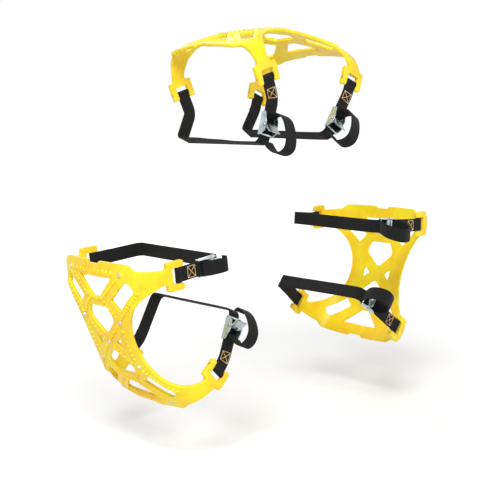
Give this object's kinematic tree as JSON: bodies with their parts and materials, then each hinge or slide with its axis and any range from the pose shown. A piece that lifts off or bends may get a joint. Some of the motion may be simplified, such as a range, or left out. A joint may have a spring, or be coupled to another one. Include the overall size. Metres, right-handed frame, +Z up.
{
  "type": "tire snow chains",
  "caption": "Emergency snow chains of moulded plastic: webbed tread pads with fork ends, steel pins, webbing straps through the wheel and cam buckles.",
  "frame": {"origin": "centre of the wheel that the chains are fitted round", "axes": "+Y is the wheel's axle towards the vehicle, the buckles are on the street side at -Y, and +Z is up"},
  "size_m": [0.7501, 0.3282, 0.6566],
  "materials": {
    "pad_plastic": "moulded thermoplastic polyurethane, satin, yellow",
    "webbing": "woven polypropylene webbing, black",
    "zinc_steel": "pressed steel, bright zinc plated",
    "pin_steel": "drawn steel bar",
    "stud_steel": "hardened steel stud, pressed in",
    "thread": "bonded polyester sewing thread, gold"
  },
  "bodies": {
    "chains": {"top_tread_pad": "pad_plastic", "top_left_street_pin": "pin_steel", "top_left_vehicle_pin": "pin_steel", "top_left_strap_inner_run": "webbing", "top_right_street_pin": "pin_steel", "top_right_vehicle_pin": "pin_steel", "top_right_strap_inner_run": "webbing", "right_tread_pad": "pad_plastic", "right_upper_street_pin": "pin_steel", "right_upper_vehicle_pin": "pin_steel", "right_upper_strap_inner_run": "webbing", "right_lower_street_pin": "pin_steel", "right_lower_vehicle_pin": "pin_steel", "right_lower_strap_inner_run": "webbing", "left_tread_pad": "pad_plastic", "left_upper_street_pin": "pin_steel", "left_upper_vehicle_pin": "pin_steel", "left_upper_strap_inner_run": "webbing", "left_lower_street_pin": "pin_steel", "left_lower_vehicle_pin": "pin_steel", "left_lower_strap_inner_run": "webbing"},
    "top_left_buckle": {"top_left_short_strap": "webbing", "top_left_buckle_frame": "zinc_steel", "top_left_cam_axle": "pin_steel", "top_left_cam_spring": "zinc_steel", "top_left_strap_outer_run": "webbing"},
    "top_left_lever": {"top_left_cam_lever": "zinc_steel"},
    "top_right_buckle": {"top_right_short_strap": "webbing", "top_right_buckle_frame": "zinc_steel", "top_right_cam_axle": "pin_steel", "top_right_cam_spring": "zinc_steel", "top_right_strap_outer_run": "webbing"},
    "top_right_lever": {"top_right_cam_lever": "zinc_steel"},
    "right_upper_buckle": {"right_upper_short_strap": "webbing", "right_upper_buckle_frame": "zinc_steel", "right_upper_cam_axle": "pin_steel", "right_upper_cam_spring": "zinc_steel", "right_upper_strap_outer_run": "webbing"},
    "right_upper_lever": {"right_upper_cam_lever": "zinc_steel"},
    "right_lower_buckle": {"right_lower_short_strap": "webbing", "right_lower_buckle_frame": "zinc_steel", "right_lower_cam_axle": "pin_steel", "right_lower_cam_spring": "zinc_steel", "right_lower_strap_outer_run": "webbing"},
    "right_lower_lever": {"right_lower_cam_lever": "zinc_steel"},
    "left_upper_buckle": {"left_upper_short_strap": "webbing", "left_upper_buckle_frame": "zinc_steel", "left_upper_cam_axle": "pin_steel", "left_upper_cam_spring": "zinc_steel", "left_upper_strap_outer_run": "webbing"},
    "left_upper_lever": {"left_upper_cam_lever": "zinc_steel"},
    "left_lower_buckle": {"left_lower_short_strap": "webbing", "left_lower_buckle_frame": "zinc_steel", "left_lower_cam_axle": "pin_steel", "left_lower_cam_spring": "zinc_steel", "left_lower_strap_outer_run": "webbing"},
    "left_lower_lever": {"left_lower_cam_lever": "zinc_steel"}
  },
  "joints": [
    {"name": "top_left_strap_swing", "type": "hinge", "parent": "chains", "child": "top_left_buckle", "pos_m": [-0.09587, -0.12426, 0.29076], "axis": [-0.9497, 0, -0.3131], "range_deg": [0, 25]},
    {"name": "top_left_cam_press", "type": "hinge", "parent": "top_left_buckle", "child": "top_left_lever", "pos_m": [-0.09555, -0.13081, 0.20581], "axis": [0.967, -0.0004, -0.2546], "range_deg": [0, 33], "stiffness_Nm_per_rad": 0.2, "springref_deg": -17.19},
    {"name": "top_right_strap_swing", "type": "hinge", "parent": "chains", "child": "top_right_buckle", "pos_m": [0.11076, -0.12426, 0.28542], "axis": [-0.9323, 0, 0.3618], "range_deg": [0, 25]},
    {"name": "top_right_cam_press", "type": "hinge", "parent": "top_right_buckle", "child": "top_right_lever", "pos_m": [0.06918, -0.13081, 0.21279], "axis": [0.8367, -0.0001, -0.5477], "range_deg": [0, 33], "stiffness_Nm_per_rad": 0.2, "springref_deg": -17.19},
    {"name": "right_upper_strap_swing", "type": "hinge", "parent": "chains", "child": "right_upper_buckle", "pos_m": [0.31428, -0.124, 0.00973], "axis": [-0.0309, 0, 0.9995], "range_deg": [0, 25]},
    {"name": "right_upper_cam_press", "type": "hinge", "parent": "right_upper_buckle", "child": "right_upper_lever", "pos_m": [0.20702, -0.13718, 0.01373], "axis": [-0.0561, -0.0054, -0.9984], "range_deg": [0, 33], "stiffness_Nm_per_rad": 0.2, "springref_deg": -17.19},
    {"name": "right_lower_strap_swing", "type": "hinge", "parent": "chains", "child": "right_lower_buckle", "pos_m": [0.25078, -0.124, -0.18968], "axis": [0.6032, 0, 0.7976], "range_deg": [0, 25]},
    {"name": "right_lower_cam_press", "type": "hinge", "parent": "right_lower_buckle", "child": "right_lower_lever", "pos_m": [0.1634, -0.1372, -0.12726], "axis": [-0.5751, 0.0022, -0.8181], "range_deg": [0, 33], "stiffness_Nm_per_rad": 0.2, "springref_deg": -17.19},
    {"name": "left_upper_strap_swing", "type": "hinge", "parent": "chains", "child": "left_upper_buckle", "pos_m": [-0.28994, -0.12349, -0.03204], "axis": [0.1098, 0, -0.994], "range_deg": [0, 25]},
    {"name": "left_upper_cam_press", "type": "hinge", "parent": "left_upper_buckle", "child": "left_upper_lever", "pos_m": [-0.22016, -0.12248, -0.02352], "axis": [-0.1271, -0.0019, 0.9919], "range_deg": [0, 33], "stiffness_Nm_per_rad": 0.2, "springref_deg": -17.19},
    {"name": "left_lower_strap_swing", "type": "hinge", "parent": "chains", "child": "left_lower_buckle", "pos_m": [-0.20753, -0.12349, -0.20499], "axis": [0.7027, 0, -0.7114], "range_deg": [0, 25]},
    {"name": "left_lower_cam_press", "type": "hinge", "parent": "left_lower_buckle", "child": "left_lower_lever", "pos_m": [-0.16715, -0.12162, -0.1345], "axis": [-0.9166, -0.04, 0.3979], "range_deg": [0, 33], "stiffness_Nm_per_rad": 0.2, "springref_deg": -17.19}
  ]
}
